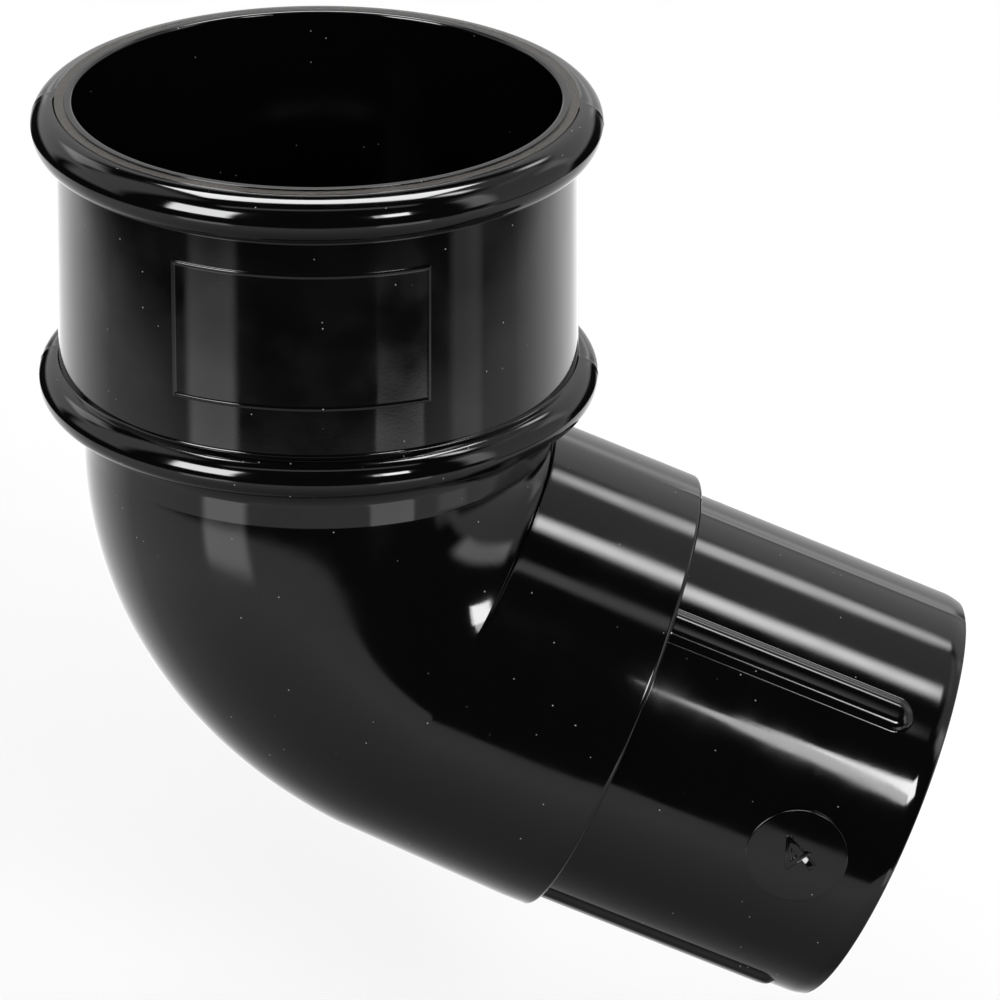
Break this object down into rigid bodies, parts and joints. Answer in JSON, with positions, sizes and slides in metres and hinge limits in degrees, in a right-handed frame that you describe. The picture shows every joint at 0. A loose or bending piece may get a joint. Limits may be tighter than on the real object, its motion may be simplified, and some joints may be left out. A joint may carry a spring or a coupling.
{
  "type": "downpipe offset bend",
  "caption": "Round rainwater pipe bend in black plastic: a beaded socket on top, a smooth elbow, and a stepped, ribbed spigot that leaves below the horizontal.",
  "frame": {"origin": "centre of the pipe stop at the bottom of the socket, on the socket's axis", "axes": "+Z along the socket's axis, out of its mouth; +X is the side that the spigot leaves towards, 22.5 degrees below the horizontal; XZ is the plane of symmetry"},
  "size_m": [0.1593, 0.0956, 0.1626],
  "materials": {
    "black_pvc": "high gloss, as moulded"
  },
  "bodies": {
    "root": {"offset_bend": "black_pvc"}
  },
  "joints": []
}
